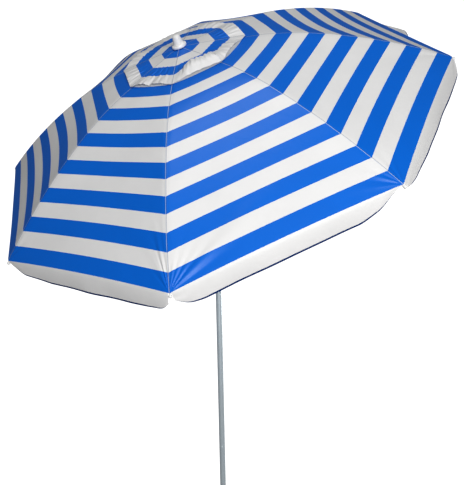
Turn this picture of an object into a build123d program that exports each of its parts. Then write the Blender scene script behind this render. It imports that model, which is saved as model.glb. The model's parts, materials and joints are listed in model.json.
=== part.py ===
from build123d import *
from math import atan2, cos, degrees, hypot, pi, radians, sin, sqrt, tan
import os

# Beach umbrella with a vented eight-panel canopy, on a two-part pole with a push-button tilt.
# Millimetres. +Z runs up the pole, and the origin is on the pole's axis at the foot of the
# straight tube, where a ground socket takes it. The mast above the tilt joint leans towards -Y
# and turns about a pivot that runs along X. Mast parts are drawn upright, with the tilt pivot as
# their origin, and then leant over together.

# ---- driving dimensions ----
TILT = 38.0                       # lean of the mast, degrees
PIVOT_Z = 1650.0                  # tilt pivot above the foot
RIBS = 8
RIB_PITCH = 360.0 / RIBS
RIB_3_ANGLE = -72.4               # direction of rib 3 about the mast, from +X
RIB_LENGTH = 950.0                # hub pivot to canopy corner, along the fabric
RIB_BEND_1 = (-3.0, 19.9)         # slope below level at the start and end of the inner half
RIB_BEND_2 = (19.9, 32.3)         # and of the outer half
HUB_PIVOT_R = 28.6                # rib pivots, from the mast's axis
CANOPY_H = 366.0                  # canopy datum above the tilt pivot
CROWN = 3.7                       # the fabric's line above that datum at the hub pivots
RIB_DROP = 6.0                    # fabric's top down to the centre of the rib
RIB_R = 2.2
FABRIC = 1.2

LOWER_R = 12.5
TUBE_WALL = 1.2
UPPER_R = 11.0
MAST_R = 11.0
LOWER_TOP = 1100.0                # mouth of the lower tube
INSERTION = 290.0                 # upper tube inside the lower one
SPIKE = 95.0
SOCKET_DEPTH = 300.0              # foot up to the groove that marks how deep the pole goes

FOLD_MAX = 72.0                   # ribs from open to closed
BRACKET_S = 140.0                 # stretcher's rivet, along the rib from its pivot
BRACKET_DROP = 7.5                # and below the rib's centre
STRETCHER = 160.0                 # between its two pivots
RUNNER_PIVOT_R = 22.0

VALANCE = 58.0
VALANCE_SLIT = 9.0                # from the rib's plane to the flap's end
VENT_IN_S = 118.0                 # inner edge of the main canopy, along the rib
INNER_STRIPS = 4                  # flat strips that follow the canopy's inner arc
OUTER_STRIPS = 3                  # and its outer arc
CAP_R = 241.0                     # corners of the vent cap
CAP_GAP = 3.6                     # cap's underside above the main canopy at its edge
CAP_TOP = 24.0                    # top of the cap at the finial, above the canopy datum
RUN = 0.3                         # clearance of parts that only slide past each other

HUB_H = CANOPY_H + CROWN - RIB_DROP / cos(radians(RIB_BEND_1[0]))  # hub pivots' level
RIB_ANGLES = [RIB_3_ANGLE + RIB_PITCH * (i - 3) for i in range(1, RIBS + 1)]
HALF = RIB_PITCH / 2
LEANT = Pos(0, 0, PIVOT_Z) * Rot(TILT, 0, 0)


def turned(points):
    """A solid of revolution about Z through (radius, height) points."""
    return revolve(Plane.XZ * make_face(Polyline(*points, close=True)), Axis.Z)


def tube(outer, wall, low, high):
    inner = outer - wall
    return turned([(inner, low), (outer, low), (outer, high), (inner, high)])


def disc(radius, low, high):
    return turned([(0, low), (radius, low), (radius, high), (0, high)])


def cylinder_x(radius, low, high, y=0, z=0):
    """A round bar along X."""
    return Pos((low + high) / 2, y, z) * Rot(0, 90, 0) * Cylinder(radius, high - low)


def cylinder_y(radius, low, high, x=0, z=0):
    """A round bar along Y."""
    return Pos(x, (low + high) / 2, z) * Rot(90, 0, 0) * Cylinder(radius, high - low)


def bar(low, high):
    """A box between two corners."""
    size = [b - a for a, b in zip(low, high)]
    middle = [(a + b) / 2 for a, b in zip(low, high)]
    return Pos(*middle) * Box(*size)


# ---- the line of a rib: two tangent arcs in the (radius, height) plane ----
def arc_step(start, slope_in, slope_out, run):
    """End point of an arc of the given length that starts at start."""
    chord_slope = radians(slope_in + slope_out) / 2
    turn = radians(slope_out - slope_in)
    chord = run * sin(turn / 2) / (turn / 2)
    return start[0] + chord * cos(chord_slope), start[1] - chord * sin(chord_slope)


def canopy_line(s, drop=0.0):
    """Point and slope of the fabric's top line at distance s along it, or drop below it."""
    half = RIB_LENGTH / 2
    start = (HUB_PIVOT_R, CANOPY_H + CROWN)
    bends = RIB_BEND_1
    if s > half:
        start = arc_step(start, *RIB_BEND_1, half)
        bends = RIB_BEND_2
        s = s - half
    slope = bends[0] + (bends[1] - bends[0]) * s / half
    r, z = arc_step(start, bends[0], slope, s) if s > 0 else start
    down = radians(slope)
    return r - drop * sin(down), z - drop * cos(down), slope


def line_arcs(s0, s1, drop):
    """The line from s0 to s1, at a depth below the fabric's top, as one or two arcs."""
    def at(s):
        return canopy_line(s, drop)[:2]

    half = RIB_LENGTH / 2
    if s0 < half < s1:
        stretches = [(s0, half), (half, s1)]
    else:
        stretches = [(s0, s1)]
    return [ThreePointArc(at(a), at((a + b) / 2), at(b)) for a, b in stretches]


# ---- linkage: stretcher and runner as the ribs fold ----
def linkage(fold):
    """Stretcher's outer pivot, its direction and the runner's depth below the hub pivots."""
    r, z, slope = canopy_line(BRACKET_S, RIB_DROP + BRACKET_DROP)
    out, up = r - HUB_PIVOT_R, z - HUB_H
    reach, down = hypot(out, up), atan2(-up, out) + radians(fold)
    r, z = HUB_PIVOT_R + reach * cos(down), -reach * sin(down)
    across = r - RUNNER_PIVOT_R
    fall = sqrt(STRETCHER ** 2 - across ** 2)
    return r, z, degrees(atan2(fall, across)), fall - z


OPEN_R, OPEN_Z, OPEN_SLOPE, OPEN_DEPTH = linkage(0)
_, _, SHUT_SLOPE, SHUT_DEPTH = linkage(FOLD_MAX)
RUNNER_TRAVEL = SHUT_DEPTH - OPEN_DEPTH
STRETCHER_TURN = FOLD_MAX + SHUT_SLOPE - OPEN_SLOPE
RUNNER_H = HUB_H - OPEN_DEPTH      # the runner's pivots with the canopy open


# ---- pole ----
def lower_pole():
    """Lower tube, with a shallow rolled groove at the depth of a ground socket."""
    inner = LOWER_R - TUBE_WALL
    groove = LOWER_R - 0.3
    return turned([
        (inner, 0), (LOWER_R, 0), (LOWER_R, SOCKET_DEPTH), (groove, SOCKET_DEPTH + 0.6),
        (groove, SOCKET_DEPTH + 2.4), (LOWER_R, SOCKET_DEPTH + 3), (LOWER_R, LOWER_TOP), (inner, LOWER_TOP),
    ])


def pole_tip():
    """Spike with a plug that is pressed into the foot of the lower tube."""
    plug_r = LOWER_R - TUBE_WALL - 0.02
    point_r = 2.0
    return turned([
        (0, -SPIKE), (point_r, -SPIKE + 1), (LOWER_R - 1, -12), (LOWER_R - 0.2, -8),
        (LOWER_R - 0.2, -0.02), (plug_r, -0.02), (plug_r, 32), (plug_r - 2, 34), (0, 34),
    ])


CLAMP_Z = LOWER_TOP + 13           # height of the clamp screw
CLAMP_FACE = 27.0                  # face of its boss, from the pole's axis
SCREW_R = 4.0


def clamp_collar():
    """Plastic collar on the lower tube's mouth, with a boss for the clamp screw."""
    body = turned([
        (LOWER_R + 0.02, LOWER_TOP - 40), (16.5, LOWER_TOP - 40), (18.5, LOWER_TOP - 36),
        (18.5, LOWER_TOP + 22), (16, LOWER_TOP + 27), (UPPER_R + 0.1, LOWER_TOP + 27),
        (UPPER_R + 0.1, LOWER_TOP + 0.05), (LOWER_R + 0.02, LOWER_TOP + 0.05),
    ])
    boss = cylinder_x(9.5, 13, CLAMP_FACE, z=CLAMP_Z)
    bore = disc(UPPER_R + 0.1, LOWER_TOP + 0.05, LOWER_TOP + 40)
    return body + boss - bore - cylinder_x(SCREW_R + 0.1, 0, CLAMP_FACE + 1, z=CLAMP_Z)


def clamp_knob():
    """Lobed knob with its screw, which presses on the upper tube."""
    head_in, head_out = CLAMP_FACE + 1.0, CLAMP_FACE + 14.0
    head = cylinder_x(15.0, head_in, head_out, z=CLAMP_Z)
    lobes = 7
    for k in range(lobes):
        turn = 2 * pi * k / lobes
        head -= cylinder_x(3.6, head_in - 1, head_out + 1, 16.5 * cos(turn), CLAMP_Z + 16.5 * sin(turn))
    head = fillet(head.faces().sort_by(Axis.X)[-1].edges(), 1.0)
    return head + cylinder_x(SCREW_R, UPPER_R + 0.15, head_in + 1, z=CLAMP_Z)


UPPER_LOW = LOWER_TOP - INSERTION
UPPER_TOP = PIVOT_Z - 42.0
KNUCKLE_R = 13.6
CHEEK_IN = 5.4
PIN_R = 3.0
BUTTON_R = 4.5
BUTTON_Z = PIVOT_Z - 30.0


def upper_pole():
    return tube(UPPER_R, TUBE_WALL, UPPER_LOW, UPPER_TOP)


def tilt_fork():
    """Lower half of the knuckle: a plug in the upper tube, a round body and two cheeks."""
    plug_r = UPPER_R - TUBE_WALL - 0.02
    body_top = PIVOT_Z - 16
    body = turned([
        (0, UPPER_TOP - 26), (plug_r, UPPER_TOP - 26), (plug_r, UPPER_TOP + 0.02),
        (KNUCKLE_R - 0.8, UPPER_TOP + 0.02), (KNUCKLE_R, UPPER_TOP + 1.5),
        (KNUCKLE_R, body_top), (0, body_top),
    ])
    sweep_r = 12.0
    cheeks = disc(KNUCKLE_R, body_top - 1, PIVOT_Z + sweep_r)
    keep = cylinder_x(sweep_r, -20, 20, z=PIVOT_Z) + bar((-20, -sweep_r, body_top - 1), (20, sweep_r, PIVOT_Z))
    cheeks = (cheeks & keep) - bar((-CHEEK_IN, -20, body_top), (CHEEK_IN, 20, PIVOT_Z + 20))
    well = cylinder_y(BUTTON_R + 0.1, 1.0, KNUCKLE_R + 1, z=BUTTON_Z)
    return body + cheeks - cylinder_x(PIN_R + 0.02, -20, 20, z=PIVOT_Z) - well


def tilt_pin():
    """Rivet through the knuckle, with a flat head at each side."""
    reach, head = KNUCKLE_R + 0.05, 1.4
    pin = cylinder_x(PIN_R, -reach, reach, z=PIVOT_Z)
    for low in (-reach - head, reach):
        pin += cylinder_x(4.6, low, low + head, z=PIVOT_Z)
    return pin


def tilt_button():
    """Push button on the knuckle's back that frees the tilt."""
    button = cylinder_y(BUTTON_R, 8.0, KNUCKLE_R + 3.6, z=BUTTON_Z)
    return fillet(button.faces().sort_by(Axis.Y)[-1].edges(), 1.2)


def tilt_spring():
    """Coil spring in the well behind the button."""
    turns, wire, coil_r = 3.5, 0.35, 3.4
    length = 6.0
    coil = Helix(length / turns, length, coil_r)
    start = Plane(coil @ 0, z_dir=coil % 0)
    spring = sweep(start * Circle(wire), path=coil, is_frenet=True)
    return Pos(0, 1.5, BUTTON_Z) * Rot(-90, 0, 0) * spring


# ---- mast, hub and finial, upright, with the tilt pivot as origin ----
def tilt_tongue():
    """Upper half of the knuckle: a tongue between the cheeks and a plug in the mast."""
    plug_r = MAST_R - TUBE_WALL - 0.02
    body = turned([
        (0, 16), (KNUCKLE_R, 16), (KNUCKLE_R, 25), (KNUCKLE_R - 1, 27.98), (plug_r, 27.98),
        (plug_r, 52), (0, 52),
    ])
    half = CHEEK_IN - 0.2
    tongue = cylinder_x(11.2, -half, half) + bar((-half, -11.2, 0), (half, 11.2, 17))
    tongue &= disc(KNUCKLE_R, -12, 17)
    return body + tongue - cylinder_x(PIN_R + 0.08, -20, 20)


HUB_R = 33.0
HUB_CEILING = HUB_H + 6.2          # top of the slots
HUB_TOP = CANOPY_H + CAP_TOP - FABRIC - 0.4
RING_R = 1.2
STUD_R = 4.0
HUB_SLOT = 5.0
EYE = 4.0


def slots(width, r_in, low, high, reach):
    """Radial slots, one at each rib."""
    slot = bar((r_in, -width / 2, low), (reach, width / 2, high))
    return [Rot(0, 0, angle) * slot for angle in RIB_ANGLES]


def hub():
    """Notched hub: the ribs' eyes sit in its slots, on a ring wire."""
    body = turned([
        (0, HUB_H - 22), (16, HUB_H - 22), (18, HUB_H - 20), (18, HUB_H - 11), (HUB_R, HUB_H - 9),
        (HUB_R, HUB_TOP - 1.2), (HUB_R - 1.2, HUB_TOP), (0, HUB_TOP),
    ])
    body -= disc(MAST_R + 0.02, HUB_H - 23, HUB_H + 2)
    for cut in slots(HUB_SLOT, 23.4, HUB_H - 12, HUB_CEILING, HUB_R + 2):
        body -= cut
    body -= Pos(0, 0, HUB_H) * Torus(HUB_PIVOT_R, RING_R + 0.15)
    return body - disc(STUD_R + 0.02, HUB_H + 3, HUB_TOP + 1)


def hub_ring():
    return Pos(0, 0, HUB_H) * Torus(HUB_PIVOT_R, RING_R)


def finial_stud():
    return disc(STUD_R, HUB_H + 3.5, CANOPY_H + 58)


def finial():
    """Turned plastic knob that screws down over the vent cap."""
    low = CANOPY_H + CAP_TOP + 0.4
    body = turned([
        (0, low), (19.0, low), (19.0, low + 2.6), (25.8, low + 3.0), (27.2, low + 4.2),
        (27.4, low + 8.8), (26.4, low + 11.2), (21.4, low + 13.8), (18.2, low + 17.4),
        (16.8, low + 24.0), (15.2, low + 34.0), (13.8, low + 40.4), (10.8, low + 44.4),
        (6.0, low + 46.6), (0, low + 47.2),
    ])
    return body - disc(STUD_R + 0.05, low - 1, CANOPY_H + 60)


def mast():
    return tube(MAST_R, TUBE_WALL, 28.02, HUB_H + 1.9)


# ---- runner and latch ----
RUNNER_R = 16.0
SLEEVE_DROP = 33.0                 # bottom of the sleeve below the runner's pivots
RUNNER_SLOT = 4.6
LATCH_ANGLE = RIB_3_ANGLE + HALF + 180.0
LATCH_H = RUNNER_H - 21.0


def runner():
    """Sliding sleeve with a notched flange that takes the stretchers' inner ends."""
    low, high = RUNNER_H - SLEEVE_DROP, RUNNER_H + 9
    body = turned([
        (MAST_R + 0.15, low), (19, low), (20, low + 1), (20, low + 4), (RUNNER_R, low + 6),
        (RUNNER_R, RUNNER_H - 6), (27, RUNNER_H - 5), (27, RUNNER_H + 5), (25, RUNNER_H + 6),
        (18, high), (MAST_R + 0.15, high),
    ])
    for cut in slots(RUNNER_SLOT, 17.4, RUNNER_H - 8, RUNNER_H + 12, 30):
        body -= cut
    pocket = bar((MAST_R - 1, -4.4, LATCH_H - 8.4), (22, 4.4, LATCH_H + 8.4))
    return body - Rot(0, 0, LATCH_ANGLE) * pocket


def runner_latch():
    """Sprung thumb latch in a pocket of the runner; its nose faces the mast."""
    r_in = MAST_R + RUN
    thumb = bar((13.6, -4.1, LATCH_H - 8), (19.4, 4.1, LATCH_H + 8))
    thumb = fillet(thumb.edges().filter_by(Axis.Y).sort_by(Axis.X)[-2:], 2.0)
    nose = bar((r_in, -2.4, LATCH_H + 2.2), (14, 2.4, LATCH_H + 6.8))
    return Rot(0, 0, LATCH_ANGLE) * (thumb + nose)


# ---- ribs, brackets, tips and stretchers, drawn along +X and then turned into place ----
def rib():
    """Round rod bent in two arcs, with a flat eye on the hub's ring wire."""
    start = 6.0
    path = Wire(line_arcs(start, RIB_LENGTH - 3, RIB_DROP))
    path = Plane.XZ * path
    section = Plane(path @ 0, z_dir=path % 0) * Circle(RIB_R)
    rod = sweep(section, path=path)
    r, z, slope = canopy_line(start + 4, RIB_DROP)
    eye = Pos(HUB_PIVOT_R, 0, HUB_H) * Rot(90, 0, 0) * Cylinder(4.4, EYE)
    neck = Pos((HUB_PIVOT_R + r) / 2, 0, (HUB_H + z) / 2) * Rot(0, slope, 0) * Box(
        r - HUB_PIVOT_R, EYE, 2 * RIB_R)
    hole = Pos(HUB_PIVOT_R, 0, HUB_H) * Rot(90, 0, 0) * Cylinder(RING_R + 0.2, EYE + 2)
    return rod + eye + neck - hole


BRACKET_HALF = 8.0
LUG_GAP = 4.0
LUG_OUT = 4.8
RIVET_R = 1.5
STRETCHER_EYE = 3.4


def rib_bracket():
    """Clip on the rib with two lugs, and the rivet that the stretcher turns on."""
    r, z, slope = canopy_line(BRACKET_S, RIB_DROP)
    clip = bar((-BRACKET_HALF, -LUG_OUT, -3.4), (BRACKET_HALF, LUG_OUT, 3.4))
    clip = fillet(clip.edges().filter_by(Axis.X), 1.0)
    lugs = bar((-4.5, -LUG_OUT, -BRACKET_DROP), (4.5, LUG_OUT, 0))
    lugs += Pos(0, 0, -BRACKET_DROP) * Rot(90, 0, 0) * Cylinder(4.5, 2 * LUG_OUT)
    gap = bar((-12, -LUG_GAP / 2, -BRACKET_DROP - 8), (12, LUG_GAP / 2, -3.0))
    hole = Rot(0, 90, 0) * Cylinder(RIB_R + 0.04, 40)
    pin_hole = Pos(0, 0, -BRACKET_DROP) * Rot(90, 0, 0) * Cylinder(RIVET_R + 0.02, 20)
    rivet = Rot(90, 0, 0) * Cylinder(RIVET_R, 2 * LUG_OUT + 0.2)
    heads = [Pos(0, s * (LUG_OUT + 0.52), 0) * Rot(90, 0, 0) * Cylinder(2.6, 1.0) for s in (-1, 1)]
    rivet = Pos(0, 0, -BRACKET_DROP) * (rivet + heads[0] + heads[1])
    place = Pos(r, 0, z) * Rot(0, slope, 0)
    return [place * (clip + lugs - gap - hole - pin_hole), place * rivet]


def rib_tip():
    """Plastic cap on the rib's end that holds the canopy's corner."""
    r, z, slope = canopy_line(RIB_LENGTH - 1, RIB_DROP)
    cap = turned([
        (0, -14), (3.4, -14), (3.8, -12), (3.8, 4), (5.0, 6), (5.4, 9), (4.6, 12), (2.6, 13.6),
        (0, 14),
    ])
    cap -= disc(RIB_R + 0.04, -15, 0)
    return Pos(r, 0, z) * Rot(0, 90 + slope, 0) * cap


def stretcher():
    """Strut from the rib's bracket to the runner, with a flat eye at each end."""
    rod_r = 1.9
    body = Pos(STRETCHER / 2, 0, 0) * Rot(0, 90, 0) * Cylinder(rod_r, STRETCHER - 8)
    for x in (0, STRETCHER):
        body += Pos(x, 0, 0) * Rot(90, 0, 0) * Cylinder(4.0, STRETCHER_EYE)
    body += bar((0, -STRETCHER_EYE / 2, -rod_r), (10, STRETCHER_EYE / 2, rod_r))
    body += bar((STRETCHER - 10, -STRETCHER_EYE / 2, -rod_r), (STRETCHER, STRETCHER_EYE / 2, rod_r))
    body -= Rot(90, 0, 0) * Cylinder(RIVET_R + 0.08, 10)
    body -= Pos(STRETCHER, 0, 0) * Rot(90, 0, 0) * Cylinder(RIVET_R, 10)
    return Pos(OPEN_R, 0, HUB_H + OPEN_Z) * Rot(0, 180 - OPEN_SLOPE, 0) * body


# ---- canopy: eight sectors, each two half panels, its valance and its part of the vent cap ----
def half_sheet(outline, side, slit=0.0):
    """A panel's section, drawn on its middle plane, carried across to one side's rib plane.

    side is 1 for the half panel anticlockwise of the rib, and -1 for the other.
    """
    gap = RUN / 2
    width = 420.0
    sheet = extrude(Plane.XZ * make_face(outline), width, both=True)
    reach = 1200.0
    spread = reach * tan(radians(HALF))
    corners = [(0, 0), (reach, 0), (reach, -side * spread)]
    wedge = extrude(Pos(0, -side * gap, -900) * make_face(Polyline(*corners, close=True)), 1800)
    if slit:
        along = Rot(0, 0, -side * HALF)
        wedge -= along * bar((0, -slit, -900), (reach, slit, 900))
    return Rot(0, 0, side * HALF) * (sheet & wedge)


def panel_point(s, drop):
    """Point of the fabric's line on a panel's middle plane."""
    r, z, _ = canopy_line(s, drop)
    return r * cos(radians(HALF)), z


def strip_outlines():
    """Sections of the flat strips, mitred end to end, that follow the fabric's line to the hem."""
    half = RIB_LENGTH / 2
    stations = [VENT_IN_S + (half - VENT_IN_S) * k / INNER_STRIPS for k in range(INNER_STRIPS)]
    stations += [half + half * k / OUTER_STRIPS for k in range(OUTER_STRIPS + 1)]
    corners = [[panel_point(s, drop) for s in stations] for drop in (0, FABRIC)]
    return [
        Polyline(top, next_top, next_low, low, close=True)
        for top, next_top, low, next_low in zip(corners[0], corners[0][1:], corners[1], corners[1][1:])
    ]


def valance_outline(rib_angle, side):
    """Flap that hangs from the hem, between the canopy's own slope and straight down."""
    slope = canopy_line(RIB_LENGTH)[2]
    towards = radians(rib_angle + side * HALF)
    out, fall = -sin(radians(TILT)) * sin(towards), -cos(radians(TILT))
    hang = degrees(atan2(-fall, out))
    turn = radians(slope + 0.45 * (hang - slope))
    top, low = panel_point(RIB_LENGTH, 0), panel_point(RIB_LENGTH, 0.8)
    end = (top[0] + VALANCE * cos(turn), top[1] - VALANCE * sin(turn))
    end_low = (end[0] - 0.8 * sin(turn), end[1] - 0.8 * cos(turn))
    return Polyline(top, end, end_low, low, close=True)


def cap_outlines():
    """Vent cap: a flat ring under the finial, then a shallow cone to its own edge over the vent."""
    r, z, _ = canopy_line(CAP_R - HUB_PIVOT_R)
    level = CANOPY_H + CAP_TOP - FABRIC
    path = [(12.0, level), (32.0, level), (CAP_R * cos(radians(HALF)), z + CAP_GAP)]
    return [
        Polyline(a, b, (b[0], b[1] + FABRIC), (a[0], a[1] + FABRIC), close=True)
        for a, b in zip(path, path[1:])
    ]


def canopy_sector(rib_angle):
    """The half panels either side of a rib, in flat strips so that each one is convex."""
    pieces = []
    for side in (1, -1):
        pieces += [half_sheet(outline, side) for outline in strip_outlines() + cap_outlines()]
        pieces.append(half_sheet(valance_outline(rib_angle, side), side, VALANCE_SLIT))
    return pieces


# ---- writing ----
def save(name, shape):
    solids = []
    for piece in shape if isinstance(shape, list) else [shape]:
        solids += piece.solids()
    result = solids[0] if len(solids) == 1 else Compound(children=solids)
    export_step(result, f"parts/{name}.step")


def main():
    os.makedirs("parts", exist_ok=True)
    standing = [
        lower_pole, pole_tip, clamp_collar, clamp_knob, upper_pole, tilt_fork, tilt_pin,
        tilt_button, tilt_spring,
    ]
    for make in standing:
        save(make.__name__, make())
    for make in (tilt_tongue, mast, hub, hub_ring, finial_stud, finial, runner, runner_latch):
        save(make.__name__, LEANT * make())
    arms = {"rib": [rib()], "rib_bracket": rib_bracket(), "rib_tip": [rib_tip()], "stretcher": [stretcher()]}
    for number, angle in enumerate(RIB_ANGLES, 1):
        place = LEANT * Rot(0, 0, angle)
        for name, pieces in arms.items():
            save(f"{name}_{number}", [place * piece for piece in pieces])
        save(f"canopy_sector_{number}", [place * piece for piece in canopy_sector(angle)])
    print(f"hub pivots {HUB_H:.2f}, runner {RUNNER_H:.2f}, travel {RUNNER_TRAVEL:.2f} mm, "
          f"stretcher turn {STRETCHER_TURN:.2f} deg, open slope {OPEN_SLOPE:.2f}")


main()
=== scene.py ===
"""Striped beach umbrella: cloth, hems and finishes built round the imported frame. Metres."""
import json
import math

import bmesh
import bpy
import numpy as np
from mathutils import Matrix, Vector


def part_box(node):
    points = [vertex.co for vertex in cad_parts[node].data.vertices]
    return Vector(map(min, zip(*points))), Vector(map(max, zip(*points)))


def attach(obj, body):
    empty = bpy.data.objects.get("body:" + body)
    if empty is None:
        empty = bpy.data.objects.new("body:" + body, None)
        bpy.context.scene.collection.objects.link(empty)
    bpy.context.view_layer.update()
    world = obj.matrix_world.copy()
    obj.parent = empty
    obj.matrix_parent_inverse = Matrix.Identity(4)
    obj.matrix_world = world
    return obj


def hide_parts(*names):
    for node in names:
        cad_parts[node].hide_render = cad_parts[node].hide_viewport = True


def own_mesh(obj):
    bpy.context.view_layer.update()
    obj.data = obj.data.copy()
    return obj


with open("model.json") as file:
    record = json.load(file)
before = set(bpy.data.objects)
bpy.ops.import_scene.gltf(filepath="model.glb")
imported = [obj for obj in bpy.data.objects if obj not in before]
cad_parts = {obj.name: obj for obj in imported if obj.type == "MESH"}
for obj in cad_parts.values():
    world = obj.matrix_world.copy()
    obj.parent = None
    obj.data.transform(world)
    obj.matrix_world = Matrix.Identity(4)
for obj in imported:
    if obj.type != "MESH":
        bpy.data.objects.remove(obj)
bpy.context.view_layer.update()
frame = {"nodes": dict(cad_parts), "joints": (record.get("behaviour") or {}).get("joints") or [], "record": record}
nodes = frame["nodes"]
joints = {j["name"]: j for j in frame["joints"]}

# ---- the mast's own axes, read from the frame ----
PIVOT = np.array(joints["tilt_hinge"]["pos_m"])
MAST_UP = -np.array(joints["runner_slide"]["axis"])
MAST_RIGHT = np.array((1.0, 0.0, 0.0))
MAST_BACK = np.cross(MAST_UP, MAST_RIGHT)
TO_ROW = np.column_stack([MAST_RIGHT, MAST_BACK, MAST_UP])
DOWN = np.array((0.0, 0.0, -1.0)) @ TO_ROW      # gravity in the mast's axes

RIBS = range(1, 9)
PITCH = math.radians(45)
HALF = PITCH / 2
hub_points = {i: (np.array(joints[f"rib_{i}_fold"]["pos_m"]) - PIVOT) @ TO_ROW for i in RIBS}
RIB_ANGLE = {i: math.atan2(p[1], p[0]) for i, p in hub_points.items()}
HUB_R = math.hypot(*hub_points[1][:2])
HUB_H = hub_points[1][2]

# ---- the canopy's driving sizes, as in the frame's own design ----
RIB_LENGTH = 0.950
BEND_1 = (-3.0, 19.9)            # slope below level at the ends of the inner half, degrees
BEND_2 = (19.9, 32.3)            # and of the outer half
RIB_DROP = 0.006                 # rib's centre below the cloth's top
STRIPE = 0.0573
STRIPES = 13                     # bands of a panel, from the hem inwards
VENT_EDGE = 0.118                # inner edge of the main cloth, along the rib
CAP_R = 0.241                    # corners of the vent cap
CAP_HOLE = 0.0125                # the cap's hole for the finial's stud
CAP_FLAT = 0.033                 # the cap is level under the finial, out to here
CAP_STRIPE = 0.0555
CAP_RISE = 0.0261                # cap's top under the finial, above the ribs' pivots
CAP_GAP = 0.0048                 # and at its edge, above the main cloth
CLOTH = 0.0007                   # thickness of the cloth
SEAM_ROUND = 0.018               # the cloth rounds over a rib this far to each side
SEAM_BEND = math.radians(11.0)   # and turns this much there
FLAP = 0.0615                    # depth of the valance at mid panel

# How far a panel's middle is drawn inwards and hangs below its ribs, as shares of the rib's length:
# a constant, a linear and a square term of the way in from the hem.
DRAWN_IN = (0.0072, 0.0030, -0.0179)
SAG = (0.0006, 0.0519, -0.0626)

BLUE = (0.001, 0.172, 0.74)
# dark navy for painted shade: the shadow beside a seam, and the valance's blue binding as if in shade
SHADE_NAVY = (0.002, 0.030, 0.150)
WHITE = (0.87, 0.87, 0.87)
THREAD = (0.75, 0.82, 0.90)
SHADED_BINDING_FROM = 0.91              # the valance's blue binding starts at this share of its depth; it is painted dark navy, as painted shade
WEAVE = 0.0011                   # pitch of the cloth's threads


def row(points):
    """From the mast's axes to the row frame."""
    return points @ TO_ROW.T + PIVOT


def rib_line(s):
    """Radius, height and slope (radians) of the cloth at distance s along a rib, from the hub."""
    s = np.asarray(s, float)
    half = RIB_LENGTH / 2
    start_h = HUB_H + RIB_DROP / math.cos(math.radians(BEND_1[0]))

    def arc(start, bends, run):
        slope = np.radians(bends[0] + (bends[1] - bends[0]) * run / half)
        middle = (slope + math.radians(bends[0])) / 2
        turn = slope - math.radians(bends[0])
        chord = run * np.sinc(turn / 2 / math.pi)
        return start[0] + chord * np.cos(middle), start[1] - chord * np.sin(middle), slope

    r1, h1, slope1 = arc((HUB_R, start_h), BEND_1, np.minimum(s, half))
    knee = arc((HUB_R, start_h), BEND_1, half)
    r2, h2, slope2 = arc(knee[:2], BEND_2, np.maximum(s - half, 0))
    outer = s > half
    return np.where(outer, r2, r1), np.where(outer, h2, h1), np.where(outer, slope2, slope1)


def panel_axes(panel):
    """Outward and sideways directions of the panel that starts at this rib."""
    middle = RIB_ANGLE[panel] + HALF
    out = np.array((math.cos(middle), math.sin(middle), 0.0))
    side = np.array((-math.sin(middle), math.cos(middle), 0.0))
    return out, side


UP = np.array((0.0, 0.0, 1.0))


def smooth(x):
    """Rises from 0 at 0 to 1 at 1, level at both ends."""
    x = np.clip(x, 0, 1)
    return x * x * (3 - 2 * x)


def quadratic(terms, x):
    return terms[0] + terms[1] * x + terms[2] * x ** 2


# ---- cloth surfaces in the mast's axes ----
# Folds that fan out from a panel's corner: angle from the rib and width in degrees, height and
# the distance at which it is tallest in millimetres.
QUIET_FOLDS = [(12, 5, 0.5, 24), (27, 6, -0.5, 26), (44, 8, 0.5, 30), (66, 8, -0.4, 30)]
CORNER_FOLDS = {
    (3, -1): [(6, 2.2, -0.8, 24), (13, 2.4, 1.3, 26), (21, 2.4, -1.3, 26), (29, 2.8, 1.3, 28),
              (38, 3.0, -1.5, 34), (47, 4.0, 1.3, 34), (56, 4.0, -1.2, 60), (65, 7.0, 3.0, 120),
              (79, 5.0, -1.5, 90)],
    (2, 1): [(7, 2.0, -1.4, 44), (13, 2.2, 2.3, 42), (19, 2.4, -2.0, 40), (31, 4.0, 1.0, 28),
             (46, 6.0, -0.8, 30)],
    (3, 1): [(8, 4, 0.8, 30), (20, 5, -1.1, 34), (34, 6, 1.2, 40), (50, 7, -1.2, 44), (68, 8, 1.1, 60)],
    (4, -1): [(9, 4, 0.8, 26), (22, 6, -0.9, 30), (40, 8, 0.8, 34), (62, 9, -0.6, 40)],
    (2, -1): [(10, 5, 0.7, 30), (24, 6, -0.7, 32), (42, 8, 0.6, 36), (64, 9, -0.5, 40)],
    (4, 1): [(10, 5, 0.7, 34), (22, 6, -0.7, 60), (36, 8, 0.6, 50), (60, 10, -0.5, 40)],
}


def corner_folds(panel, v, s):
    """Height of the folds that fan out from a panel's two corners at the rib tips."""
    r = rib_line(s)[0]
    total = np.zeros(np.broadcast(v, s).shape)
    for end in (-1, 1):
        along = RIB_LENGTH - s
        across = (1 - end * v) * r * math.sin(HALF)
        reach = np.hypot(along, across) * 1000 + 1e-3
        angle = np.degrees(np.arctan2(across, along + 1e-9))
        for at, width, height, peak in CORNER_FOLDS.get((panel, end), QUIET_FOLDS):
            spread = np.exp(-((angle - at) / width) ** 2)
            total += 0.001 * height * spread * reach / peak * np.exp(1 - reach / peak)
    return total


def uneven(panel, v, s):
    """Slow unevenness of a taut cloth panel, and small puckers beside its seams."""
    seed = 2.4 * panel
    slack = np.sin(4.2 * v + seed) * np.sin(s * 11 + seed * 1.7) * (1 - v ** 2)
    side = 1 - np.abs(v)
    pucker = np.exp(-(side / 0.05) ** 2) * smooth(side / 0.012) * (
        np.sin(s * 190 + seed) + 0.7 * np.sin(s * 121 - 2 * seed))
    return 0.0005 * slack + 0.00012 * pucker


def seam_shape(from_rib):
    """The ridge of a felled seam, on cloth that rounds over the rib under it."""
    ridge = 0.0006 * np.exp(-(from_rib / 0.0036) ** 4)
    bend = math.tan(SEAM_BEND)
    return ridge - bend * np.clip(SEAM_ROUND - from_rib, 0, None) ** 2 / (2 * SEAM_ROUND)


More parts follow.
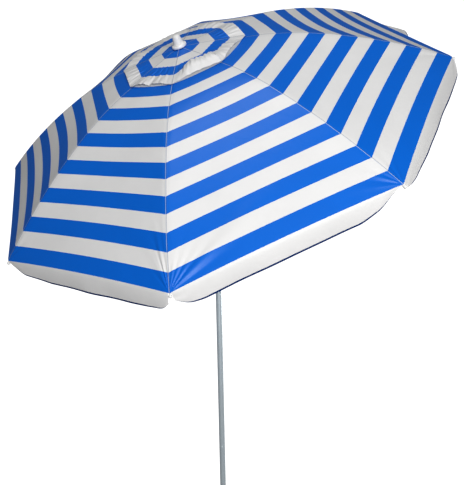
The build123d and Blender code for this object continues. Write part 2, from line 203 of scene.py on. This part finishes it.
def main_surface(panel, v, s):
    """Points of a canopy panel; v runs from -1 at its first rib to 1 at its second."""
    out, side = panel_axes(panel)
    r, h, slope = rib_line(s)
    slope = np.arctan(np.tan(slope) / math.cos(HALF))
    q = np.clip((RIB_LENGTH - s) / (STRIPES * STRIPE), 0, 1)
    inwards = RIB_LENGTH * quadratic(DRAWN_IN, q)
    sag = RIB_LENGTH * np.clip(quadratic(SAG, q), 0, None)
    belly = 1 - v ** 2
    lift = seam_shape((1 - np.abs(v)) * r * math.sin(HALF)) - belly * sag
    lift = lift + corner_folds(panel, v, s) + uneven(panel, v, s)
    run = r * math.cos(HALF) - belly * inwards * np.cos(slope) + lift * np.sin(slope)
    rise = h + belly * inwards * np.sin(slope) + lift * np.cos(slope)
    cross = v * r * math.sin(HALF)
    return run[..., None] * out + cross[..., None] * side + rise[..., None] * UP


# Depth of a valance flap along a panel, as a share of its full depth.
FLAP_PLACES = (0, 0.02, 0.06, 0.12, 0.30, 0.55, 0.80, 0.89, 0.95, 0.98, 1)
FLAP_SHAPES = {
    2: (0.02, 0.14, 0.40, 0.70, 0.93, 1, 0.98, 0.93, 0.86, 0.72, 0.40),
    3: (0.30, 0.55, 0.85, 0.98, 1, 1, 0.97, 0.68, 0.22, 0.05, 0.02),
    4: (0.25, 0.38, 0.52, 0.70, 0.90, 1, 1, 0.97, 0.86, 0.66, 0.25),
}
FLAP_PLAIN = (0.02, 0.20, 0.50, 0.80, 0.97, 1, 0.97, 0.82, 0.50, 0.25, 0.02)
FLAP_FLARE = {5: (0.56, 0.15, 1.6)}      # turned outwards: place and width as shares, radians
FLAP_FALL = (0.50, 1.0)                  # shares of the way to straight down, at the hem and below
FLAP_HANG = {4: (0.32, 0.42)}            # a stiffer flap's own
FLAP_CURL = math.radians(14)
FLAP_WAVE = 0.04                         # radians
FLAP_CRUMPLE = 0.50                      # radians, at the flap's two ends
FLAP_LEAN = 0.25                         # share of the sideways pull that a flap gives way to


def flap_depth(panel, v):
    """Depth of the valance across a panel."""
    share = (1 + v) / 2
    shape = FLAP_SHAPES.get(panel, FLAP_PLAIN)
    near = [np.interp(share + d, FLAP_PLACES, shape) for d in (-0.015, -0.008, 0, 0.008, 0.015)]
    return FLAP * np.mean(near, axis=0)


def flap_surface(panel, v, d):
    """Points of a valance flap, its rows d from 0 at the hem to 1 at its edge.

    It turns from the canopy's own slope towards straight down, and curls in a little at its edge.
    """
    out, side = panel_axes(panel)
    hem = main_surface(panel, v, np.full_like(v, RIB_LENGTH))
    slope = math.atan(math.tan(rib_line(RIB_LENGTH)[2]) / math.cos(HALF))
    ahead = math.cos(slope) * out - math.sin(slope) * UP
    under = np.cross(side, ahead)
    hang = math.atan2(DOWN @ under, DOWN @ ahead)
    share = (1 + v) / 2
    wave = np.sin(15 * share + 1.3 * panel) + 0.7 * np.sin(27 * share - 2.1 * panel)
    first, last = FLAP_HANG.get(panel, FLAP_FALL)
    turn = hang * (first + (last - first) * smooth(d / 0.30)) + FLAP_WAVE * wave * d
    turn = turn + FLAP_CURL * d
    if panel in FLAP_FLARE:
        middle, width, much = FLAP_FLARE[panel]
        turn = turn - much * np.exp(-((share - middle) / width) ** 2)
    crumple = np.exp(-(1 - np.abs(v)) / 0.09) * np.sin(9 * d + 60 * share + panel)
    turn = turn + FLAP_CRUMPLE * crumple * d
    step = np.gradient(d, axis=0) * flap_depth(panel, v)
    step[0] = 0
    forward = np.cumsum(step * np.cos(turn), axis=0)
    below = np.cumsum(step * np.sin(turn), axis=0)
    aside = FLAP_LEAN * (DOWN @ side) * (1 - v ** 8) * np.cumsum(step, axis=0)
    return hem + forward[..., None] * ahead + below[..., None] * under + aside[..., None] * side


# Slack places of the vent cap: height in millimetres, place across the panel and out along it,
# and how far each of these reaches. The raised fold's place is by rib number instead, because it
# runs on over a rib.
CAP_FOLD = (21, 3.71, 0.80, 0.47, 0.16)
CAP_GATHERS = 0.0009             # height of the fine gathers towards the cap's hem
CAP_SLACK = {
    1: [(9, 0.0, 1.0, 0.70, 0.30)],
    2: [(9, -0.55, 1.0, 0.35, 0.25), (6, 0.40, 1.0, 0.40, 0.25)],
    3: [(3, 0.0, 1.0, 0.70, 0.15)],
    4: [(9, -0.10, 0.95, 0.60, 0.25)],
    5: [(17, -0.05, 1.0, 0.80, 0.32)],
    6: [(11, 0.0, 1.0, 0.70, 0.30)],
    7: [(10, -0.1, 1.0, 0.70, 0.30)],
    8: [(11, 0.1, 1.0, 0.70, 0.30)],
}


def cap_surface(panel, v, x):
    """Points of the vent cap at corner radius x: a shallow cone whose hem is slack between ribs."""
    out, side = panel_axes(panel)
    radii, heights, _ = rib_line(np.linspace(0.10, 0.40, 61))
    edge_h = np.interp(CAP_R, radii, heights) + CAP_GAP
    t = np.clip((x - CAP_FLAT) / (CAP_R - CAP_FLAT), 0, 1)
    level = HUB_H + CAP_RISE + (edge_h - HUB_H - CAP_RISE) * t
    belly = 1 - np.abs(v) ** 3
    lift = np.zeros(np.broadcast(v, x).shape)
    for height, v_at, t_at, v_wide, t_wide in CAP_SLACK[panel]:
        lift += 0.001 * height * np.exp(-((v - v_at) / v_wide) ** 4 - ((t - t_at) / t_wide) ** 2)
    gathers = np.sin(17 * v + 6 * t + 3 * panel) + 0.6 * np.sin(31 * v - 9 * t + panel)
    lift = belly * (lift + CAP_GATHERS * smooth((t - 0.2) / 0.5) * gathers)
    height, rib_at, t_at, wide, t_wide = CAP_FOLD
    around = panel + (1 + v) / 2 - rib_at
    crease = 1 + 0.10 * np.sin(11 * around + 5 * t) + 0.08 * np.sin(58 * around + 24 * t)
    lift = lift + 0.001 * height * crease * np.exp(-(around / wide) ** 4 - ((t - t_at) / t_wide) ** 4)
    run = x * math.cos(HALF) - 0.25 * lift
    cross = v * x * math.sin(HALF)
    return run[..., None] * out + cross[..., None] * side + (level + lift)[..., None] * UP


# ---- meshes ----
def grid_mesh(name, patches):
    """A closed thin mesh of cloth from patches of (points, uv), each a grid of rows and columns."""
    points, faces, uvs = [], [], []
    start = 0
    for grid, uv in patches:
        rows, cols = grid.shape[:2]
        du = np.gradient(grid, axis=1)
        dv = np.gradient(grid, axis=0)
        normal = np.cross(du, dv)
        normal /= np.linalg.norm(normal, axis=-1, keepdims=True) + 1e-12
        if normal[rows // 2, cols // 2] @ UP < 0:
            normal = -normal
        low = grid - CLOTH * normal
        points += [grid.reshape(-1, 3), low.reshape(-1, 3)]
        uvs += [uv.reshape(-1, 2), uv.reshape(-1, 2)]
        index = np.arange(rows * cols).reshape(rows, cols) + start
        under = index + rows * cols
        quads = np.stack([index[:-1, :-1], index[:-1, 1:], index[1:, 1:], index[1:, :-1]], -1)
        faces.append(quads.reshape(-1, 4))
        faces.append(np.flip(quads.reshape(-1, 4), 1) + rows * cols)
        rim = np.concatenate([index[0, :], index[1:, -1], index[-1, -2::-1], index[-2::-1, 0]])
        below = np.concatenate([under[0, :], under[1:, -1], under[-1, -2::-1], under[-2::-1, 0]])
        faces.append(np.stack([rim[1:], rim[:-1], below[:-1], below[1:]], -1))
        start += 2 * rows * cols
    points = row(np.concatenate(points))
    faces = np.concatenate(faces)
    uvs = np.concatenate(uvs)
    mesh = bpy.data.meshes.new(name)
    mesh.from_pydata(points.tolist(), [], faces.tolist())
    layer = mesh.uv_layers.new(name="cloth")
    layer.data.foreach_set("uv", uvs[faces.ravel()].astype(np.float32).ravel())
    mesh.materials.append(cloth_material)
    mesh.polygons.foreach_set("use_smooth", np.ones(len(mesh.polygons), bool))
    obj = bpy.data.objects.new(name, mesh)
    bpy.context.scene.collection.objects.link(obj)
    return obj, mesh


def tidy(mesh):
    """Turns the faces outwards and keeps the rim's edges sharp."""
    bm = bmesh.new()
    bm.from_mesh(mesh)
    bmesh.ops.recalc_face_normals(bm, faces=bm.faces)
    bm.to_mesh(mesh)
    bm.free()
    mesh.set_sharp_from_angle(angle=math.radians(55))


def steps(*parts):
    """Positions from stretches of (start, end, count), joined without repeats."""
    found = [np.linspace(a, b, n) for a, b, n in parts]
    return np.concatenate([found[0], *[f[1:] for f in found[1:]]])


def sector_patch(surface, rib, places, share, radius, along):
    """One grid across a rib: its half of the panel before and of the panel after.

    share holds the places across half a panel, from 0 at the rib to 1 at the panel's middle;
    radius and along are the rib's radius and the cloth's own length at each of places.
    """
    grids = []
    for panel, v in ((RIBS[rib - 2], 1 - share[::-1]), (rib, -1 + share)):
        pp, vv = np.meshgrid(places, v, indexing="ij")
        grids.append(surface(panel, vv, pp))
    grid = np.concatenate([grids[0], grids[1][:, 1:]], 1)
    width = np.concatenate([-share[::-1], share[1:]])
    u = width[None, :] * radius[:, None] * math.sin(HALF)
    v = np.repeat(along[:, None], grid.shape[1], 1)
    return grid, np.stack([u, v], -1)


def flap_patches(rib, share, depth):
    """The two half flaps beside a rib."""
    found = []
    for panel, v in ((RIBS[rib - 2], 1 - share[::-1]), (rib, -1 + share)):
        dd, vv = np.meshgrid(depth, v, indexing="ij")
        grid = flap_surface(panel, vv, dd)
        u = (2 + vv) * float(rib_line(RIB_LENGTH)[0]) * math.sin(HALF)
        down = RIB_LENGTH + FLAP * dd * (1 - 0.10 * vv ** 8)
        found.append((grid, np.stack([u, down], -1)))
    return found


# ---- materials ----
def new_material(name):
    """An empty node material, its tree and its output node."""
    m = bpy.data.materials.new(name)
    m.use_nodes = True
    tree = m.node_tree
    tree.nodes.clear()
    out = tree.nodes.new("ShaderNodeOutputMaterial")
    return m, tree, out


def math_node(tree, operation, *values):
    """A Math node's output; each value is a number, or a socket to link from."""
    node = tree.nodes.new("ShaderNodeMath")
    node.operation = operation
    for socket, value in zip(node.inputs, values):
        if isinstance(value, (int, float)):
            socket.default_value = value
        else:
            tree.links.new(value, socket)
    return node.outputs[0]


def colour_mix(tree, factor, a, b):
    """A colour Mix node's output; each value is a number, a colour, or a socket to link from."""
    node = tree.nodes.new("ShaderNodeMix")
    node.data_type = "RGBA"
    for socket, value in ((node.inputs[0], factor), (node.inputs[6], a), (node.inputs[7], b)):
        if isinstance(value, (int, float)):
            socket.default_value = value
        elif isinstance(value, tuple):
            socket.default_value = (*value, 1.0)
        else:
            tree.links.new(value, socket)
    return node.outputs[2]


def striped_cloth(name):
    """Woven polyester in bands parallel to the hem, with flat-felled seams along the ribs."""
    m, tree, out = new_material(name)
    uv = tree.nodes.new("ShaderNodeUVMap")
    uv.uv_map = "cloth"
    split = tree.nodes.new("ShaderNodeSeparateXYZ")
    tree.links.new(uv.outputs[0], split.inputs[0])
    across, along = split.outputs[0], split.outputs[1]
    from_hem = math_node(tree, "SUBTRACT", RIB_LENGTH + 40 * STRIPE, along)
    band = math_node(tree, "MODULO", math_node(tree, "DIVIDE", from_hem, STRIPE), 2.0)
    is_white = math_node(tree, "GREATER_THAN", band, 1.0)
    base = colour_mix(tree, is_white, BLUE, WHITE)
    # slow unevenness of the dye
    noise = tree.nodes.new("ShaderNodeTexNoise")
    noise.inputs["Scale"].default_value = 9.0
    noise.inputs["Detail"].default_value = 5.0
    tree.links.new(uv.outputs[0], noise.inputs["Vector"])
    shade = tree.nodes.new("ShaderNodeHueSaturation")
    value = math_node(tree, "MULTIPLY_ADD", noise.outputs[0], 0.10, 0.95)
    tree.links.new(value, shade.inputs["Value"])
    tree.links.new(base, shade.inputs["Color"])
    # a pale thread along the seam's ridge, and beside it a painted shadow in dark navy
    thread = math_node(tree, "COMPARE", across, -0.0011, 0.0011)
    painted_seam_shadow = math_node(tree, "COMPARE", across, 0.0014, 0.0013)
    thread_share = math_node(tree, "MULTIPLY", thread, 0.50)
    painted_seam_shadow_share = math_node(tree, "MULTIPLY", painted_seam_shadow, 0.40)
    pale = colour_mix(tree, thread_share, shade.outputs[0], THREAD)
    seam = colour_mix(tree, painted_seam_shadow_share, pale, SHADE_NAVY)
    # the narrow blue binding along the valance's edge, painted dark navy as painted shade
    shaded_binding = math_node(tree, "GREATER_THAN", along, RIB_LENGTH + SHADED_BINDING_FROM * FLAP)
    colour = colour_mix(tree, shaded_binding, seam, SHADE_NAVY)
    # relief: the weave's two crossed threads on fine crumpling
    weave = []
    for axis in (across, along):
        turns = math_node(tree, "MULTIPLY", axis, 2 * math.pi / WEAVE)
        weave.append(math_node(tree, "SINE", turns))
    threads = math_node(tree, "MULTIPLY", weave[0], weave[1])
    crumple = tree.nodes.new("ShaderNodeTexNoise")
    crumple.inputs["Scale"].default_value = 26.0
    crumple.inputs["Detail"].default_value = 6.0
    crumple.inputs["Distortion"].default_value = 0.6
    tree.links.new(uv.outputs[0], crumple.inputs["Vector"])
    crumpled = math_node(tree, "MULTIPLY", crumple.outputs[0], 0.0016)
    height = math_node(tree, "MULTIPLY_ADD", threads, 0.00003, crumpled)
    bump = tree.nodes.new("ShaderNodeBump")
    bump.inputs["Strength"].default_value = 0.5
    bump.inputs["Distance"].default_value = 1.0
    tree.links.new(height, bump.inputs["Height"])
    cloth = tree.nodes.new("ShaderNodeBsdfPrincipled")
    tree.links.new(colour, cloth.inputs["Base Color"])
    cloth.inputs["Roughness"].default_value = 0.42
    cloth.inputs["Specular IOR Level"].default_value = 0.4
    tree.links.new(bump.outputs[0], cloth.inputs["Normal"])
    through = tree.nodes.new("ShaderNodeBsdfTranslucent")
    tree.links.new(colour, through.inputs["Color"])
    mix = tree.nodes.new("ShaderNodeMixShader")
    mix.inputs[0].default_value = 0.10
    tree.links.new(cloth.outputs[0], mix.inputs[1])
    tree.links.new(through.outputs[0], mix.inputs[2])
    tree.links.new(mix.outputs[0], out.inputs["Surface"])
    return m


def moulded_plastic(name, colour, roughness):
    """Moulded plastic: fine orange peel, with tone and roughness that vary slightly."""
    m, tree, out = new_material(name)
    place = tree.nodes.new("ShaderNodeTexCoord")
    tone = tree.nodes.new("ShaderNodeTexNoise")
    tone.inputs["Scale"].default_value = 38.0
    tone.inputs["Detail"].default_value = 4.0
    peel = tree.nodes.new("ShaderNodeTexNoise")
    peel.inputs["Scale"].default_value = 900.0
    for texture in (tone, peel):
        tree.links.new(place.outputs["Object"], texture.inputs["Vector"])
    dull = tuple(0.88 * c for c in colour)
    base = colour_mix(tree, tone.outputs[0], dull, colour)
    bump = tree.nodes.new("ShaderNodeBump")
    bump.inputs["Strength"].default_value = 0.25
    bump.inputs["Distance"].default_value = 0.0002
    tree.links.new(peel.outputs[0], bump.inputs["Height"])
    shader = tree.nodes.new("ShaderNodeBsdfPrincipled")
    shader.inputs["Subsurface Weight"].default_value = 0.05
    shader.inputs["Subsurface Radius"].default_value = (0.004, 0.004, 0.004)
    rough = math_node(tree, "MULTIPLY_ADD", tone.outputs[0], 0.14, roughness - 0.07)
    tree.links.new(rough, shader.inputs["Roughness"])
    tree.links.new(base, shader.inputs["Base Color"])
    tree.links.new(bump.outputs[0], shader.inputs["Normal"])
    tree.links.new(shader.outputs[0], out.inputs["Surface"])
    return m


def drawn_metal(name, colour, roughness, metallic):
    """Drawn or anodised metal: fine lines along its length, and roughness that varies in marks."""
    m, tree, out = new_material(name)
    place = tree.nodes.new("ShaderNodeTexCoord")
    stretch = tree.nodes.new("ShaderNodeMapping")
    stretch.inputs["Scale"].default_value = (60.0, 60.0, 2.0)
    tree.links.new(place.outputs["Object"], stretch.inputs["Vector"])
    lines = tree.nodes.new("ShaderNodeTexNoise")
    lines.inputs["Scale"].default_value = 30.0
    lines.inputs["Detail"].default_value = 6.0
    tree.links.new(stretch.outputs[0], lines.inputs["Vector"])
    marks = tree.nodes.new("ShaderNodeTexNoise")
    marks.inputs["Scale"].default_value = 14.0
    marks.inputs["Detail"].default_value = 8.0
    tree.links.new(place.outputs["Object"], marks.inputs["Vector"])
    dark = tuple(0.78 * c for c in colour)
    base = colour_mix(tree, lines.outputs[0], dark, colour)
    bump = tree.nodes.new("ShaderNodeBump")
    bump.inputs["Strength"].default_value = 0.2
    bump.inputs["Distance"].default_value = 0.0001
    tree.links.new(lines.outputs[0], bump.inputs["Height"])
    shader = tree.nodes.new("ShaderNodeBsdfPrincipled")
    shader.inputs["Metallic"].default_value = metallic
    rough = math_node(tree, "MULTIPLY_ADD", marks.outputs[0], 0.22, roughness - 0.11)
    tree.links.new(rough, shader.inputs["Roughness"])
    tree.links.new(base, shader.inputs["Base Color"])
    tree.links.new(bump.outputs[0], shader.inputs["Normal"])
    tree.links.new(shader.outputs[0], out.inputs["Surface"])
    return m


cloth_material = striped_cloth("striped_cloth")
finishes = {
    "pole_metal": drawn_metal("anodised_tube", (0.84, 0.95, 1.00), 0.36, metallic=0.4),
    "rib_steel": drawn_metal("zinc_rod", (0.66, 0.68, 0.70), 0.38, metallic=0.6),
    "small_steel": drawn_metal("bright_steel", (0.62, 0.63, 0.65), 0.28, metallic=0.7),
    "knuckle_metal": drawn_metal("plated_casting", (0.72, 0.74, 0.76), 0.24, metallic=0.7),
    "white_plastic": moulded_plastic("white_plastic", (0.93, 0.93, 0.92), 0.38),
    "grey_plastic": moulded_plastic("grey_plastic", (0.10, 0.105, 0.11), 0.5),
}


def finish_cad_nodes():
    """Gives each hard CAD node the finish of its own material slot."""
    for part in frame["record"]["subparts"]:
        finish = finishes.get(part["material_slot"])
        if finish:
            obj = nodes[part["node"]]
            obj.data.materials.clear()
            obj.data.materials.append(finish)


GATHER = 0.20                    # width of a sector when closed, of its width when open
CAP_GATHER = 0.42                # and of the vent cap, which keeps the closed top covered


def settle(obj, rib):
    """Cloth rides on its rib and stands for its CAD solid, which it hides."""
    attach(obj, f"rib_{rib}")
    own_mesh(obj)
    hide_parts(f"canopy_sector_{rib}")


FINENESS = {2: 1.25, 3: 1.7, 4: 1.7, 5: 1.25}    # finer cloth by the ribs where folds are sharp


def build_canopy():
    """Main cloth, valance and vent cap of each sector, all on the sector's own rib."""
    cap_share = steps((0, 0.1, 5), (0.1, 1.0, 26))
    cap_x = steps((CAP_HOLE, 0.036, 4), (0.036, CAP_R, 40))
    # the cap's bands carry on from the panels'; 0.8 mm keeps its hem clear of the next band
    cap_along = RIB_LENGTH - STRIPES * STRIPE - (CAP_R + 0.0008 - cap_x) * STRIPE / CAP_STRIPE
    flap_share = steps((0.014, 0.16, 14), (0.16, 1.0, 34))
    depth = np.linspace(0, 1, 11)
    wide = 2 * float(rib_line(RIB_LENGTH)[0]) * math.sin(HALF)
    for rib in RIBS:
        fine = FINENESS.get(rib, 1.0)
        share = steps((0, 0.02, 5), (0.02, 0.16, round(14 * fine)), (0.16, 0.45, round(11 * fine)),
                      (0.45, 1.0, 15))
        s = steps((VENT_EDGE, 0.70, 34), (0.70, 0.86, round(17 * fine)),
                  (0.86, RIB_LENGTH, round(24 * fine)))
        main, mesh = grid_mesh(f"canopy_cloth_{rib}",
                               [sector_patch(main_surface, rib, s, share, rib_line(s)[0], s)])
        tidy(mesh)
        flap, mesh = grid_mesh(f"valance_{rib}", flap_patches(rib, flap_share, depth))
        tidy(mesh)
        cap, mesh = grid_mesh(f"vent_cap_cloth_{rib}",
                              [sector_patch(cap_surface, rib, cap_x, cap_share, cap_x, cap_along)])
        tidy(mesh)
        for obj, keep in ((main, GATHER), (flap, GATHER), (cap, CAP_GATHER)):
            settle(obj, rib)


# ---- scene ----
def camera():
    """The camera: in front, to the right and a little above, turned slightly about its own axis."""
    data = bpy.data.cameras.new("camera")
    data.lens = 37.63
    data.sensor_width = 36.0
    data.clip_end = 100
    cam = bpy.data.objects.new("camera", data)
    azimuth, elevation, roll = (math.radians(a) for a in (28.353, 7.518, -1.088))
    place = Matrix.Translation((1.06383, -1.84247, 1.49288))
    turn = Matrix.Rotation(azimuth, 4, "Z") @ Matrix.Rotation(math.pi / 2 - elevation, 4, "X")
    cam.matrix_world = place @ turn @ Matrix.Rotation(roll, 4, "Z")
    bpy.context.scene.collection.objects.link(cam)
    bpy.context.scene.camera = cam


def softbox(name, aim, direction, distance, size, power, colour):
    """A rectangular lamp facing the point aim, from a direction and a distance.

    The camera doesn't see the lamp itself.
    """
    data = bpy.data.lights.new(name, "AREA")
    data.shape = "RECTANGLE"
    data.size, data.size_y = size
    data.energy = power
    data.color = colour
    light = bpy.data.objects.new(name, data)
    away = Vector(direction).normalized()
    light.location = Vector(aim) + distance * away
    light.rotation_mode = "QUATERNION"
    light.rotation_quaternion = away.to_track_quat("Z", "Y")
    light.visible_camera = False
    bpy.context.scene.collection.objects.link(light)


def surroundings():
    """White to the camera and dim to every other ray, so that they don't wash out the cloth."""
    world = bpy.data.worlds.new("studio")
    world.use_nodes = True
    bpy.context.scene.world = world
    tree = world.node_tree
    tree.nodes.clear()
    rays = tree.nodes.new("ShaderNodeLightPath")
    light = tree.nodes.new("ShaderNodeBackground")
    light.inputs[0].default_value = (0.11, 0.112, 0.115, 1)
    backdrop = tree.nodes.new("ShaderNodeBackground")
    backdrop.inputs[0].default_value = (1.02, 1.02, 1.02, 1)
    choose = tree.nodes.new("ShaderNodeMixShader")
    tree.links.new(rays.outputs["Is Camera Ray"], choose.inputs[0])
    tree.links.new(light.outputs[0], choose.inputs[1])
    tree.links.new(backdrop.outputs[0], choose.inputs[2])
    out = tree.nodes.new("ShaderNodeOutputWorld")
    tree.links.new(choose.outputs[0], out.inputs[0])


def studio_floor():
    """A white floor just under the spike's tip; like the surroundings, it doesn't light the cloth."""
    bpy.ops.mesh.primitive_plane_add(size=60, location=(0, 0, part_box("pole_tip")[0].z - 0.001))
    floor = bpy.context.object
    floor.name = "floor"
    m, tree, out = new_material("white_floor")
    shader = tree.nodes.new("ShaderNodeBsdfPrincipled")
    shader.inputs["Base Color"].default_value = (0.1, 0.1, 0.1, 1)
    shader.inputs["Roughness"].default_value = 0.95
    shader.inputs["Specular IOR Level"].default_value = 0.0
    shader.inputs["Emission Color"].default_value = (1, 1, 1, 1)
    shader.inputs["Emission Strength"].default_value = 1.0
    tree.links.new(shader.outputs[0], out.inputs["Surface"])
    floor.data.materials.append(m)
    floor.visible_diffuse = False
    floor.visible_glossy = False


def studio():
    """Surroundings, floor and three soft lamps: key at the front right, overhead, and behind."""
    surroundings()
    softbox("key", aim=(0.0, -0.3, 1.9), direction=(0.61, -0.66, -0.03), distance=3.6,
            size=(1.3, 1.3), power=83, colour=(1.0, 0.99, 0.98))
    softbox("overhead", aim=(0.3, -0.5, 1.65), direction=(-0.06, -0.30, 0.95), distance=3.6,
            size=(1.0, 1.0), power=29, colour=(1, 1, 1))
    softbox("behind", aim=(0.0, 0.0, 1.7), direction=(0.45, 0.88, -0.25), distance=4.0,
            size=(2.5, 1.4), power=65, colour=(1, 1, 1))
    studio_floor()
    bpy.context.scene.view_settings.view_transform = "Standard"
    bpy.context.scene.view_settings.look = "Medium High Contrast"


camera()
studio()
finish_cad_nodes()
build_canopy()
